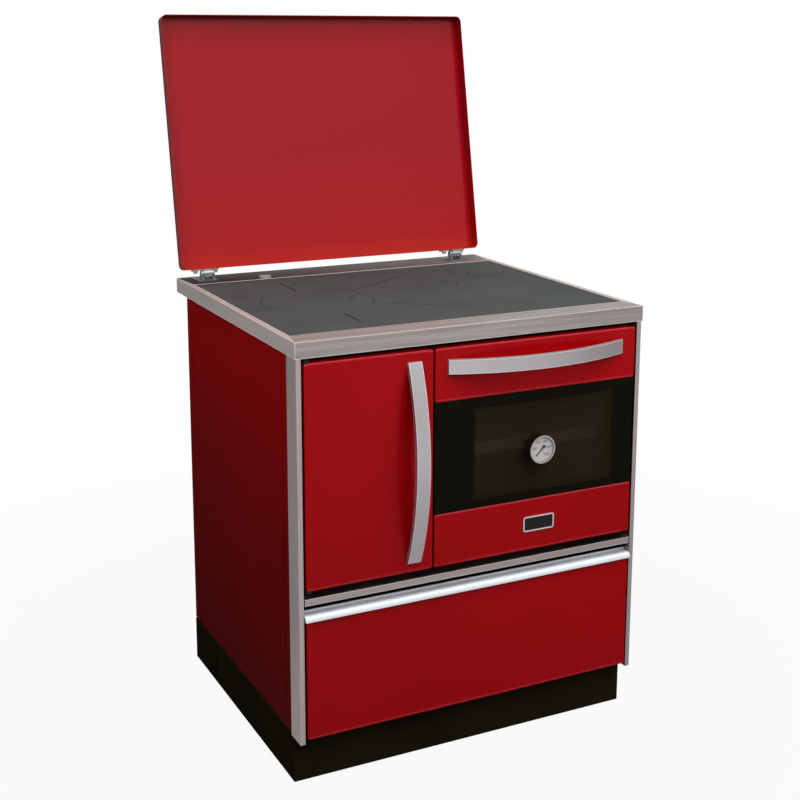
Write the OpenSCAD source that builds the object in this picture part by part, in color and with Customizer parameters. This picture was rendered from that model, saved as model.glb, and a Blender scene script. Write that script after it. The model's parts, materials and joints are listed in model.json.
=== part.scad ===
// Solid-fuel range cooker: red enamelled panels, stainless corner posts and top frame, cast-iron hob
// under a hinged lid, fire door on the left, glazed drop-down oven door on the right, drawer below.
// The origin is on the floor, in the middle of the top frame's footprint. The front faces -Y.
// +X points to the viewer's right and +Z up. All sizes are in millimetres.

/* [Cabinet] */
// Width over the stainless top frame
body_w = 732; // [700:1:760]
// Depth over the stainless top frame
body_d = 680; // [640:1:710]
// Height of the top frame above the floor
body_h = 850; // [840:1:880]
// Height of the black plinth
plinth_h = 92; // [86:1:98]
// Height of the stainless band round the top
top_t = 30; // [27:1:32]
// How far the top frame stands out behind the cabinet
back_overhang = 57; // [50:1:64]

/* [Doors and drawer] */
// Width of the fire door
fire_door_w = 253.5; // [242:0.1:258]
// Height of both doors
door_h = 420; // [412:1:424]
// Height of the glass band in the oven door
glass_h = 217; // [200:1:226]
// Height of the red panel above the glass
top_panel_h = 100.5; // [96:0.5:106]
// Width of the bowed handles
handle_w = 27; // [22:1:32]
// How far the handles bow out from the doors
handle_bow = 43; // [36:1:48]
// Distance between the two ends of the fire door's handle
handle_len = 383; // [350:1:384]

/* [Hob and lid] */
// Radius of the lift-out ring cover over the fire
ring_r = 112.4; // [100:0.1:114]
// Radius of the flue collar, whose cover in the hob is slightly wider
flue_r = 60; // [55:1:62]
// Width of the lid
lid_w = 722; // [690:1:740]
// Length of the lid from hinge side to front
lid_len = 545; // [500:1:550]
// Depth of the lid's folded edge
lid_depth = 25; // [20:1:30]
// Angle by which the open lid leans back from upright
lid_lean = 10.5; // [8:0.5:12]

/* [Hidden] */
$fn = 96;

// Sheet and plate thicknesses
sheet = 1.5;
stainless_t = 2;
plate = 3;
hob_t = 12;
glass_t = 4;

// Cabinet outline
half_w = body_w / 2;
front_y = -body_d / 2;
back_y = body_d / 2;
under_z = body_h - top_t;
cab_back_y = back_y - back_overhang;
cab_x = half_w - 4;
cab_in_x = cab_x - sheet;
base_z1 = plinth_h + plate;

// Corner posts and the front frame behind the doors
post_x = half_w - 2;
post_w = 9.5;
post_in_x = post_x - post_w;
post_depth = 45;
post_front_y = front_y + 2;
frame_y = front_y + 36;
frame_back_y = frame_y + plate;

// Plinth
plinth_x = cab_x + 1;
plinth_inset = 38;
plinth_front_y = front_y + plinth_inset;
plinth_rear_len = 140;
plinth_seam_y = cab_back_y - plinth_rear_len;
plinth_seam_gap = 1;
plinth_flange = 25;

// Doors: both are folded trays with their front flush with the top frame
door_t = 22;
door_corner_r = 5;
door_top_gap = 10;
door_side_gap = 4.5;
door_mid_gap = 4.5;
door_right_gap = 6;
door_back_y = front_y + door_t;
liner_back_y = door_back_y + plate;
door_z1 = under_z - door_top_gap;
door_z0 = door_z1 - door_h;
fire_x0 = -post_in_x + door_side_gap;
fire_x1 = fire_x0 + fire_door_w;
oven_x0 = fire_x1 + door_mid_gap;
oven_x1 = post_in_x - door_right_gap;
glass_z1 = door_z1 - top_panel_h;
glass_z0 = glass_z1 - glass_h;
window_x0 = oven_x0 + 86.2;
window_x1 = oven_x1 - 51;
window_z0 = glass_z0 + 19;
window_z1 = glass_z1 - 25;

// Rail between doors and drawer, and the drawer
rail_h = 12.5;
rail_gap = 16;
rail_z1 = door_z0 - rail_gap;
rail_z0 = rail_z1 - rail_h;
drawer_z0 = plinth_h + 9;
drawer_drop = 29.5;
drawer_z1 = rail_z0 - drawer_drop;
drawer_x = post_in_x - 4.5;
rail_x = post_in_x - 2.5;
pull_x = post_in_x - 1.5;
pull_h = 14.5;
pull_out = 5;
runner_h = 35;
runner_t = 12.5;
runner_up = 85;
slide_gap = 0.5;
slide_room = 29.5;
drawer_box_x = cab_in_x - slide_room;
drawer_box_y0 = front_y + sheet;
drawer_box_z0 = drawer_z0 + 9;
drawer_box_z1 = drawer_z1 - 32;
drawer_back_room = 45;
drawer_back_y = cab_back_y - drawer_back_room;
runner_z0 = drawer_box_z0 + runner_up;

// Inner casing with firebox and oven, carried by the middle shelf
shelf_z0 = door_z0 + 2;
casing_z0 = shelf_z0 + 2;
floor_z = casing_z0 + plate;
casing_x = cab_in_x - 9.5;
casing_back_y = cab_back_y - 7;
brick_t = 27;
fire_in_x0 = -casing_x + plate;
fire_open_x0 = fire_in_x0 + brick_t;
oven_out_x0 = fire_x1 + 15;
fire_open_x1 = oven_out_x0 - brick_t;
fire_base_z0 = floor_z + 73;
fire_base_z1 = fire_base_z0 + 8;
fire_room = 424;
fire_back_y = frame_y + fire_room;
fire_open_z0 = fire_base_z1 + 22;
fire_open_z1 = door_z1 - 20;
ash_open_z1 = fire_base_z0 - 5;
grate_h = 12;
grate_margin = 25;
grate_lap = 4;
oven_t = 2;
oven_out_x1 = oven_x1 - 16.5;
oven_out_z0 = door_z0 + 30;
oven_out_z1 = door_z1 - 30;
oven_back_room = 110;
oven_back_y = cab_back_y - oven_back_room;
oven_lip = 4;
rack_up = 60;
rack_pitch = 114;

// Hob opening in the top frame
rim_side = 11.7;
rim_front = 54.6;
rim_rear = 90.7;
hob_x = half_w - rim_side;
hob_y0 = front_y + rim_front;
hob_y1 = back_y - rim_rear;
hob_drop = 2;
hob_z1 = body_h - hob_drop;
hob_z0 = hob_z1 - hob_t;
hob_gap = 1;
ledge = 15;
ring_in = 170.3;
ring_back = 278.2;
ring_c = [-hob_x + ring_in, hob_y0 + ring_back];
ring_gap = 1.2;
ring_ledge = 8;
cover_t = 6;
flue_in = 92;
flue_front = 104;
flue_cover_r = flue_r + 1.5;
flue_c = [hob_x - flue_in, hob_y1 - flue_front];
groove_w = 2.5;
groove_deep = 5;
groove_back = 92.5;
groove_front = 103;
groove_long = 199;
lift_hole_r = 4;

// Flue spigot behind the cabinet
spigot_z = door_z1 - 70;
spigot_wall = 2;
flange_r = flue_r + 14;
spigot_y1 = back_y - 4;

// Damper knob in the rear strip
damper_in = 172.8;
damper_at = [-half_w + damper_in, cab_back_y - 21.3];
damper_r = 4;
damper_flap_w = 50;

// Handles: how far a bar's middle lies in from the fire door's right edge and from the oven door's
// top edge, and the step at its ends
fire_handle_in = 39.4;
oven_handle_in = 35.2;
oven_handle_left = 3.3;
handle_step = 5;

// Lid hinges
hinge_in = 64;
hinge_shift = -6;
hinge_at = [-half_w + hinge_in + hinge_shift, half_w - hinge_in + hinge_shift];
pivot_y = back_y - 33.2;
pivot_z = body_h + 11;
knuckle_r = 8.5;
knuckle_half = 9;
ear_half = 14.5;
pin_r = 3.95;
lid_rim_y = 2.5;
lid_z0 = 9.8;
lid_corner_r = 12;
leaf_t = 3;
leaf_half = 28;

// Door hinges
door_pin_r = 3;
run_gap = 0.04;
bush_h = 14;
fire_axis = [fire_x0 + 6, front_y + 6];
oven_axis = [front_y + 12, door_z0 + 8];
arm_t = 5;
arm_half = 4;
arm_x0 = oven_x0 + 10.7;
arm_x1 = oven_x1 - 10.5;

// Thermometer on the oven glass
thermo_in = 223.7;
thermo_up = 105.5;
thermo_at = [oven_x1 - thermo_in, glass_z0 + thermo_up];
thermo_y0 = front_y + 0.5;
thermo_len = 20;
thermo_r = 25.5;
bezel_r = 27.5;
bezel_len = 10;
bezel_wall = 2.5;
dial_r = bezel_r - bezel_wall;
fit_gap = 0.1;
probe_r = 3;
needle_angle = 225;

// Blank badge on the oven door
badge_w = 69;
badge_h = 30.5;
badge_t = 1.8;
badge_r = 5;
badge_rim = 2.8;
badge_c = [thermo_at[0] + 10.5, door_z0 + 52];

// A plain box given by its limits
module slab(x0, x1, y0, y1, z0, z1) {
    translate([x0, y0, z0])
        cube([x1 - x0, y1 - y0, z1 - z0]);
}

// The same shape on the left and on the right
module both_sides() {
    children();
    mirror([1, 0, 0])
        children();
}

module rod_x(x0, x1, y, z, r) {
    translate([x0, y, z])
        rotate([0, 90, 0])
            cylinder(h = x1 - x0, r = r);
}

module rod_y(x, y0, y1, z, r) {
    translate([x, y1, z])
        rotate([90, 0, 0])
            cylinder(h = y1 - y0, r = r);
}

module rod_z(x, y, z0, z1, r) {
    translate([x, y, z0])
        cylinder(h = z1 - z0, r = r);
}

// Flat rectangle with true round corners, from its lower left corner
module round_rect(w, h, r) {
    translate([r, 0])
        square([w - 2 * r, h]);
    translate([0, r])
        square([w, h - 2 * r]);
    for (x = [r, w - r], y = [r, h - r])
        translate([x, y])
            circle(r = r);
}

// Upright slab whose corners are rounded when seen from the front
module front_slab(x0, x1, y0, y1, z0, z1, r) {
    translate([x0, y1, z0])
        rotate([90, 0, 0])
            linear_extrude(y1 - y0)
                round_rect(x1 - x0, z1 - z0, r);
}

// Folded tray: a front wall at y0 and four side walls back to y1
module front_tray(x0, x1, y0, y1, z0, z1, r, t) {
    difference() {
        front_slab(x0, x1, y0, y1, z0, z1, r);
        front_slab(x0 + t, x1 - t, y0 + t, y1 + 1, z0 + t, z1 - t, r - t);
    }
}

// What would fill such a tray from its front wall to its open back
module tray_filling(x0, x1, z0, z1) {
    front_slab(x0 + sheet, x1 - sheet, front_y + sheet, door_back_y, z0 + sheet, z1 - sheet,
        door_corner_r - sheet);
}

// Picture-frame ring standing upright
module front_ring(x0, x1, y0, y1, z0, z1, w, r) {
    difference() {
        front_slab(x0, x1, y0, y1, z0, z1, r);
        front_slab(x0 + w, x1 - w, y0 - 1, y1 + 1, z0 + w, z1 - w, r - 1);
    }
}

// One section of the plinth: a sheet wall all round with a flange turned in at top and bottom
module plinth_ring(y0, y1) {
    difference() {
        slab(-plinth_x, plinth_x, y0, y1, 0, plinth_h);
        slab(-plinth_x + plate, plinth_x - plate, y0 + plate, y1 - plate, plate, plinth_h - plate);
        slab(-plinth_x + plinth_flange, plinth_x - plinth_flange, y0 + plinth_flange,
            y1 - plinth_flange, -1, plinth_h + 1);
    }
}

module plinth_front_section() {
    color("black") {
        plinth_ring(plinth_front_y, plinth_seam_y - plinth_seam_gap);
        slab(-plinth_x + plate, plinth_x - plate, -plinth_flange, plinth_flange, 0, plate);
        slab(-plinth_x + plate, plinth_x - plate, -plate / 2, plate / 2, 0, plinth_h);
    }
}

module plinth_rear_section() {
    color("black")
        plinth_ring(plinth_seam_y, cab_back_y - 1);
}

module base_plate() {
    color("dimgray")
        slab(-cab_in_x, cab_in_x, frame_y, cab_back_y - sheet, plinth_h, base_z1);
}

// Side panel: one sheet with four folded edges and a shallow pressed rectangle
module side_panel() {
    panel_y0 = post_front_y + post_depth - 16;
    fold = 9;
    press_inset = 25;
    press_w = 5;
    press_deep = 0.6;
    press_y0 = post_front_y + post_depth + press_inset;
    press_y1 = cab_back_y - press_inset;
    press_z0 = base_z1 + press_inset;
    press_z1 = under_z - press_inset;
    difference() {
        slab(cab_x - fold, cab_x, panel_y0, cab_back_y, base_z1, under_z);
        slab(cab_x - fold - 1, cab_in_x, panel_y0 + sheet, cab_back_y - sheet, base_z1 + sheet,
            under_z - sheet);
        // The front fold is only as deep as the gap beside the post
        slab(cab_x - fold - 1, post_in_x + 3, panel_y0 - 1, panel_y0 + post_w * 2, base_z1 - 1,
            under_z + 1);
        difference() {
            slab(cab_x - press_deep, cab_x + 1, press_y0, press_y1, press_z0, press_z1);
            slab(cab_x - press_deep - 1, cab_x + 2, press_y0 + press_w, press_y1 - press_w,
                press_z0 + press_w, press_z1 - press_w);
        }
    }
}

module side_panel_left() {
    color("darkred")
        mirror([1, 0, 0])
            side_panel();
}

module side_panel_right() {
    color("darkred")
        side_panel();
}

// Back panel with a round hole that leaves room for the stove pipe
module back_panel() {
    color("dimgray")
        difference() {
            slab(-cab_x + 6, cab_x - 6, cab_back_y, cab_back_y + sheet, base_z1 + 2, under_z - 1);
            rod_y(flue_c[0], cab_back_y - 1, cab_back_y + sheet + 1, spigot_z, flange_r + 2);
        }
}

// Corner post: a folded channel, open towards the back
module corner_post() {
    post_y1 = post_front_y + post_depth;
    slab(post_in_x, post_x, post_front_y, post_front_y + stainless_t, plinth_h, under_z);
    slab(post_x - stainless_t, post_x, post_front_y, post_y1, plinth_h, under_z);
    slab(post_in_x, post_in_x + stainless_t, post_front_y, frame_y, plinth_h, under_z);
}

module corner_post_left() {
    color("silver")
        mirror([1, 0, 0])
            corner_post();
}

module corner_post_right() {
    color("silver")
        corner_post();
}

module cross_rail() {
    color("silver")
        difference() {
            slab(-rail_x, rail_x, post_front_y, frame_y, rail_z0, rail_z1);
            slab(-rail_x - 1, rail_x + 1, post_front_y + stainless_t, frame_y + 1,
                rail_z0 + stainless_t, rail_z1 - stainless_t);
        }
}

// Plate behind the doors, with the mouths of firebox, ash space, oven and drawer space
module front_frame() {
    drawer_mouth_x = drawer_box_x + runner_t + 3;
    color("dimgray")
        difference() {
            slab(-post_in_x, post_in_x, frame_y, frame_back_y, base_z1, body_h - stainless_t);
            slab(fire_open_x0, fire_open_x1, frame_y - 1, frame_back_y + 1, fire_open_z0, fire_open_z1);
            slab(fire_open_x0, fire_open_x1, frame_y - 1, frame_back_y + 1, floor_z, ash_open_z1);
            slab(oven_out_x0 + oven_lip, oven_out_x1 - oven_lip, frame_y - 1, frame_back_y + 1,
                oven_out_z0 + oven_lip, oven_out_z1 - oven_lip);
            slab(-drawer_mouth_x, drawer_mouth_x, frame_y - 1, frame_back_y + 1, base_z1 + 7,
                rail_z0 - 8);
        }
}

module middle_shelf() {
    color("dimgray")
        slab(-cab_in_x, cab_in_x, frame_back_y, cab_back_y - sheet, shelf_z0, casing_z0);
}

// Gas-tight steel body: floor, two sides and back, open at the front and top
module inner_casing() {
    color("dimgray")
        difference() {
            union() {
                slab(-casing_x, casing_x, frame_back_y, casing_back_y, casing_z0, hob_z0 - stainless_t);
                slab(-casing_x, casing_x, casing_back_y - plate, casing_back_y, casing_z0,
                    body_h - stainless_t);
            }
            slab(-casing_x + plate, casing_x - plate, frame_back_y - 1, casing_back_y - plate, floor_z,
                body_h);
            rod_y(flue_c[0], casing_back_y - plate - 1, casing_back_y + 1, spigot_z, flue_r - spigot_wall);
        }
}

module firebox_base() {
    color("dimgray")
        difference() {
            slab(fire_in_x0, oven_out_x0, frame_back_y, fire_back_y, fire_base_z0, fire_base_z1);
            slab(fire_open_x0 + grate_margin, fire_open_x1 - grate_margin, frame_back_y + 40,
                fire_back_y - brick_t - grate_margin, fire_base_z0 - 1, fire_base_z1 + 1);
        }
}

module firebrick_left() {
    color("tan")
        slab(fire_in_x0, fire_open_x0, frame_back_y, fire_back_y, fire_base_z1, door_z1 - 8);
}

module firebrick_right() {
    color("tan")
        slab(fire_open_x1, oven_out_x0, frame_back_y, fire_back_y, fire_base_z1, oven_out_z1 - 4);
}

module firebrick_rear() {
    color("tan")
        slab(fire_open_x0, fire_open_x1, fire_back_y - brick_t, fire_back_y, fire_base_z1, door_z1 - 8);
}

// Cast grate lying over the hole in the firebox base
module fire_grate() {
    x0 = fire_open_x0 + grate_margin - grate_lap;
    x1 = fire_open_x1 - grate_margin + grate_lap;
    y0 = frame_back_y + 40 - grate_lap;
    y1 = fire_back_y - brick_t - grate_margin + grate_lap;
    slots = 8;
    slot_w = 9;
    edge = 12;
    pitch = (x1 - x0 - 2 * edge - slot_w) / (slots - 1);
    color("darkslategray")
        difference() {
            slab(x0, x1, y0, y1, fire_base_z1, fire_base_z1 + grate_h);
            for (i = [0:slots - 1])
                slab(x0 + edge + i * pitch, x0 + edge + i * pitch + slot_w, y0 + edge,
                    (y0 + y1) / 2 - 6, fire_base_z1 - 1, fire_base_z1 + grate_h + 1);
            for (i = [0:slots - 1])
                slab(x0 + edge + i * pitch, x0 + edge + i * pitch + slot_w, (y0 + y1) / 2 + 6,
                    y1 - edge, fire_base_z1 - 1, fire_base_z1 + grate_h + 1);
        }
}

module ash_pan() {
    x0 = fire_open_x0 + 3;
    x1 = fire_open_x1 - 3;
    y0 = frame_y + 2;
    y1 = fire_back_y - 25;
    pan_h = 55;
    color("gray")
        difference() {
            slab(x0, x1, y0, y1, floor_z, floor_z + pan_h);
            slab(x0 + sheet, x1 - sheet, y0 + sheet, y1 - sheet, floor_z + sheet, floor_z + pan_h + 1);
        }
}

// Oven box: open at the front, where its edges meet the front frame
module oven_box() {
    color("darkslategray")
        difference() {
            slab(oven_out_x0, oven_out_x1, frame_back_y, oven_back_y, oven_out_z0, oven_out_z1);
            slab(oven_out_x0 + oven_t, oven_out_x1 - oven_t, frame_back_y - 1, oven_back_y - oven_t,
                oven_out_z0 + oven_t, oven_out_z1 - oven_t);
        }
}

// Side racks: an upright sheet with three runners on each side of the oven
module oven_side_racks() {
    in_x0 = oven_out_x0 + oven_t;
    in_x1 = oven_out_x1 - oven_t;
    y0 = frame_back_y + 20;
    y1 = oven_back_y - 20;
    rack_z0 = oven_out_z0 + rack_up;
    rack_h = 2 * rack_pitch + 30;
    runner = 9;
    color("silver") {
        for (i = [0:2]) {
            z = rack_z0 + i * rack_pitch;
            slab(in_x0, in_x0 + runner, y0, y1, z, z + oven_t);
            slab(in_x1 - runner, in_x1, y0, y1, z, z + oven_t);
        }
        slab(in_x0, in_x0 + sheet, y0, y1, rack_z0, rack_z0 + rack_h);
        slab(in_x1 - sheet, in_x1, y0, y1, rack_z0, rack_z0 + rack_h);
    }
}

module oven_baking_tray() {
    x0 = oven_out_x0 + oven_t + 3;
    x1 = oven_out_x1 - oven_t - 3;
    margin = 30;
    y0 = frame_back_y + margin;
    y1 = oven_back_y - margin;
    z0 = oven_out_z0 + rack_up + rack_pitch + oven_t;
    tray_h = 25;
    rim = 12;
    color("saddlebrown")
        difference() {
            union() {
                slab(x0 + rim, x1 - rim, y0, y1, z0 - tray_h + 1, z0 + 1);
                slab(x0, x1, y0, y1, z0, z0 + 1);
            }
            slab(x0 + rim + 1, x1 - rim - 1, y0 + 1, y1 - 1, z0 - tray_h + 2, z0 + 2);
        }
}

// Round collar that takes the stove pipe, with a flange on the casing's back
module flue_spigot() {
    color("dimgray")
        difference() {
            union() {
                rod_y(flue_c[0], casing_back_y, spigot_y1, spigot_z, flue_r);
                rod_y(flue_c[0], casing_back_y, casing_back_y + plate, spigot_z, flange_r);
            }
            rod_y(flue_c[0], casing_back_y - 1, spigot_y1 + 1, spigot_z, flue_r - spigot_wall);
        }
}

// Stainless frame round the hob: top face, deep edge with a return, and a ledge under the hob
module top_frame() {
    edge_return = 11;
    color("silver")
        difference() {
            union() {
                difference() {
                    slab(-half_w, half_w, front_y, back_y, under_z, body_h);
                    slab(-half_w + stainless_t, half_w - stainless_t, front_y + stainless_t,
                        back_y - stainless_t, under_z + stainless_t, body_h - stainless_t);
                    slab(-half_w + edge_return, half_w - edge_return, front_y + edge_return,
                        back_y - edge_return, under_z - 1, under_z + stainless_t + 1);
                }
                slab(-hob_x - stainless_t, hob_x + stainless_t, hob_y0 - stainless_t,
                    hob_y1 + stainless_t, hob_z0 - stainless_t, body_h);
            }
            slab(-hob_x, hob_x, hob_y0, hob_y1, hob_z0, body_h + 1);
            slab(-hob_x + ledge, hob_x - ledge, hob_y0 + ledge, hob_y1 - ledge,
                hob_z0 - stainless_t - 1, hob_z0 + 1);
            rod_z(damper_at[0], damper_at[1], body_h - stainless_t - 1, body_h + 1, damper_r + 0.5);
        }
}

// Stepped round hole in the hob: wide for the cover, narrower below it
module cover_seat(c, r) {
    rod_z(c[0], c[1], hob_z1 - cover_t, hob_z1 + 1, r + ring_gap);
    rod_z(c[0], c[1], hob_z0 - 1, hob_z1, r - ring_ledge);
}

// Expansion groove that runs outwards from the fire ring
module ring_groove(angle, r0, r1) {
    translate([ring_c[0], ring_c[1], hob_z1 - groove_deep])
        rotate([0, 0, angle])
            translate([r0, -groove_w / 2, 0])
                cube([r1 - r0, groove_w, groove_deep + 1]);
}

module hob_plate() {
    color("darkslategray")
        difference() {
            slab(-hob_x + hob_gap, hob_x - hob_gap, hob_y0 + hob_gap, hob_y1 - hob_gap, hob_z0, hob_z1);
            cover_seat(ring_c, ring_r);
            cover_seat(flue_c, flue_cover_r);
            ring_groove(90, ring_r - 1, ring_r + groove_back);
            ring_groove(32, ring_r - 1, ring_r + groove_long);
            ring_groove(-36, ring_r - 1, ring_r + groove_long);
            ring_groove(-91, ring_r + 20, ring_r + groove_front);
            rod_z(flue_c[0] - 107.8, flue_c[1] - 108.2, hob_z1 - groove_deep, hob_z1 + 1, lift_hole_r);
        }
}

// Lift-out cover with a blind hole for the lifting hook
module round_cover(c, r, hole) {
    difference() {
        union() {
            rod_z(c[0], c[1], hob_z1 - cover_t, hob_z1, r);
            rod_z(c[0], c[1], hob_z0, hob_z1 - cover_t, r - ring_ledge - 1);
        }
        translate([hole[0], hole[1], hob_z1 - groove_deep])
            cylinder(h = groove_deep + 1, r = lift_hole_r);
    }
}

module hob_ring_cover() {
    color("darkslategray")
        round_cover(ring_c, ring_r, [ring_c[0] + 72, ring_c[1] - 7]);
}

module flue_outlet_cover() {
    color("darkslategray")
        round_cover(flue_c, flue_cover_r, [flue_c[0] - 30.5, flue_c[1] - 20.6]);
}

// Fixed half of a lid hinge: foot plate, two cheeks and their eyes
module hinge_base() {
    foot_t = 2;
    foot_y0 = pivot_y - 34;
    foot_y1 = pivot_y + 12;
    difference() {
        union() {
            slab(-ear_half - 16, ear_half, foot_y0, foot_y1, body_h, body_h + foot_t);
            for (x = [-ear_half, knuckle_half + 0.3]) {
                slab(x, x + ear_half - knuckle_half - 0.3, pivot_y - knuckle_r + 1,
                    pivot_y + knuckle_r - 1, body_h, pivot_z);
                rod_x(x, x + ear_half - knuckle_half - 0.3, pivot_y, pivot_z, knuckle_r - 1.5);
            }
        }
        rod_x(-ear_half - 1, ear_half + 1, pivot_y, pivot_z, pin_r + fit_gap / 2);
    }
}

module lid_hinge_bases() {
    color("silver")
        for (x = hinge_at)
            translate([x, 0, 0])
                hinge_base();
}

module lid_hinge_pins() {
    color("silver")
        for (x = hinge_at)
            rod_x(x - ear_half, x + ear_half, pivot_y, pivot_z, pin_r);
}

// Screw heads that hold the foot plates to the rear strip
module lid_hinge_screws() {
    head_r = 4;
    head_h = 2;
    color("silver")
        for (x = hinge_at)
            for (y = [pivot_y - 28, pivot_y - 4])
                rod_z(x - ear_half - 8, y, body_h + 2, body_h + 2 + head_h, head_r);
}

// Brings a shape drawn about the hinge axis into the open lid's place
module lid_place() {
    translate([0, pivot_y, pivot_z])
        rotate([-lid_lean, 0, 0])
            children();
}

// Moving half of a lid hinge: the middle knuckle and a winged plate with nuts under the lid's edge
module hinge_leaf() {
    neck_half = 8;
    nut_r = 5.5;
    nut_h = 3;
    wing_y1 = lid_rim_y + lid_depth - 3;
    difference() {
        union() {
            rod_x(-knuckle_half, knuckle_half, 0, 0, knuckle_r);
            slab(-neck_half, neck_half, -4, 4, 0, lid_z0);
            slab(-neck_half, neck_half, 0, wing_y1, lid_z0 - leaf_t, lid_z0);
            slab(-leaf_half, leaf_half, lid_rim_y + 1, wing_y1, lid_z0 - leaf_t, lid_z0);
            for (x = [-leaf_half + nut_r, leaf_half - nut_r]) {
                rod_z(x, lid_rim_y + 8, lid_z0 - leaf_t - nut_h, lid_z0 - leaf_t, nut_r);
                rod_z(x, lid_rim_y + 8, lid_z0 - leaf_t - 2 * nut_h, lid_z0 - leaf_t - nut_h, nut_r - 1.5);
            }
        }
        rod_x(-knuckle_half - 1, knuckle_half + 1, 0, 0, pin_r + 0.06);
    }
}

module lid_hinge_leaves() {
    color("silver")
        lid_place()
            for (x = hinge_at)
                translate([x, 0, 0])
                    hinge_leaf();
}

// Lid: a shallow enamelled tray whose open side faces the front
module lid_tray() {
    color("firebrick")
        lid_place()
            difference() {
                front_slab(-lid_w / 2, lid_w / 2, lid_rim_y, lid_rim_y + lid_depth, lid_z0,
                    lid_z0 + lid_len, lid_corner_r);
                front_slab(-lid_w / 2 + sheet, lid_w / 2 - sheet, lid_rim_y - 1,
                    lid_rim_y + lid_depth - sheet, lid_z0 + sheet, lid_z0 + lid_len - sheet,
                    lid_corner_r - sheet);
            }
}

// Fixed arms above and below the fire door, each with its upright pin
module fire_door_hinge_brackets() {
    arm_w = 11;
    x = fire_axis[0];
    y = fire_axis[1];
    color("dimgray") {
        slab(x - arm_w / 2, x + arm_w / 2, y - 3.5, frame_y, door_z1 + 1.5, door_z1 + 5.5);
        rod_z(x, y, door_z1 - 14, door_z1 + 1.5, door_pin_r);
        slab(x - arm_w / 2, x + arm_w / 2, y - 3.5, frame_y, door_z0 - 6, door_z0 - 2);
        rod_z(x, y, door_z0 - 2, door_z0 + 14, door_pin_r);
    }
}

module fire_door_panel() {
    color("firebrick")
        difference() {
            front_tray(fire_x0, fire_x1, front_y, door_back_y, door_z0, door_z1, door_corner_r, sheet);
            rod_z(fire_axis[0], fire_axis[1], door_z0 - 1, door_z1 + 1, door_pin_r + 0.5);
        }
}

module fire_door_liner() {
    pad_t = 4;
    color("dimgray") {
        slab(fire_axis[0] + 3, fire_x1 - 2, door_back_y, liner_back_y, door_z0 + 2, door_z1 - 2);
        slab(fire_open_x0 + 6, fire_open_x1 - 6, liner_back_y, liner_back_y + pad_t, fire_open_z0 + 6,
            fire_open_z1 - 6);
    }
}

module fire_door_seal() {
    seal_w = 8;
    color("dimgray")
        front_ring(fire_open_x0 - seal_w - 2, fire_x1 - 4, liner_back_y, frame_y, door_z0 + 2.5,
            fire_open_z1 + seal_w + 2, 5, 4);
}

module fire_door_bushes() {
    x = fire_axis[0];
    y = fire_axis[1];
    color("goldenrod")
        difference() {
            tray_filling(fire_x0, fire_x1, door_z0, door_z1);
            slab(x + 6, fire_x1, front_y, door_back_y + 1, door_z0, door_z1);
            slab(fire_x0, fire_x1, y + 7, door_back_y + 1, door_z0, door_z1);
            slab(fire_x0, fire_x1, front_y, door_back_y + 1, door_z0 + bush_h, door_z1 - bush_h);
            rod_z(x, y, door_z0 - 1, door_z1 + 1, door_pin_r + run_gap);
        }
}

// Bowed flat bar lying along Z, its ends cut off flush with the door's face
module bowed_bar(len) {
    bar_t = 8;
    bow = handle_bow - handle_step;
    r = (len * len / 4 + bow * bow) / (2 * bow);
    intersection() {
        translate([-handle_w / 2, front_y - handle_bow + r, 0])
            rotate([0, 90, 0])
                difference() {
                    cylinder(h = handle_w, r = r, $fn = 360);
                    translate([0, 0, -1])
                        cylinder(h = handle_w + 2, r = r - bar_t, $fn = 360);
                }
        slab(-handle_w, handle_w, front_y - handle_bow - 1, front_y, -len / 2, len / 2);
    }
}

module fire_door_handle() {
    color("lightgray")
        translate([fire_x1 - fire_handle_in, 0, (door_z0 + door_z1) / 2])
            bowed_bar(handle_len);
}

// Arms that reach forward under the oven door's inner frame, each with its level pin
module oven_door_hinge_arms() {
    y = oven_axis[0];
    z = oven_axis[1];
    pin_len = 12;
    color("dimgray") {
        slab(arm_x0, arm_x0 + arm_t, y, frame_y, z - arm_half, z + arm_half);
        rod_x(arm_x0, arm_x0 + arm_t, y, z, arm_half);
        rod_x(arm_x0 - pin_len + 5, arm_x0, y, z, door_pin_r);
        slab(arm_x1 - arm_t, arm_x1, y, frame_y, z - arm_half, z + arm_half);
        rod_x(arm_x1 - arm_t, arm_x1, y, z, arm_half);
        rod_x(arm_x1, arm_x1 + pin_len - 5, y, z, door_pin_r);
    }
}

module oven_door_top_panel() {
    color("firebrick")
        front_tray(oven_x0, oven_x1, front_y, door_back_y, glass_z1, door_z1, door_corner_r, sheet);
}

module oven_door_bottom_panel() {
    slot = 3;
    color("firebrick")
        difference() {
            front_tray(oven_x0, oven_x1, front_y, door_back_y, door_z0, glass_z0, door_corner_r, sheet);
            // Slots in the lower fold let the hinge arms through while the door drops
            slab(arm_x0 - slot, arm_x0 + arm_t + slot, front_y + sheet, door_back_y + 1, door_z0 - 1,
                door_z0 + sheet + 1);
            slab(arm_x1 - arm_t - slot, arm_x1 + slot, front_y + sheet, door_back_y + 1, door_z0 - 1,
                door_z0 + sheet + 1);
        }
}

module oven_door_glass() {
    color("black")
        difference() {
            slab(oven_x0, oven_x1, thermo_y0, thermo_y0 + glass_t, glass_z0, glass_z1);
            rod_y(thermo_at[0], thermo_y0 - 1, thermo_y0 + glass_t + 1, thermo_at[1], probe_r + 1);
        }
}

// Inner frame: carries both panels and the inner glass, with folds that close the glass band's sides
module oven_door_frame() {
    color("dimgray")
        difference() {
            union() {
                slab(oven_x0 + 2.5, oven_x1 - 2.5, door_back_y, liner_back_y, oven_axis[1] + 6,
                    door_z1 - 3);
                for (x = [oven_x0 + 2.5, oven_x1 - 4.5])
                    slab(x, x + 2, thermo_y0 + glass_t, door_back_y, glass_z0, glass_z1);
            }
            slab(window_x0, window_x1, door_back_y - 1, liner_back_y + 1, window_z0, window_z1);
        }
}

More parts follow.
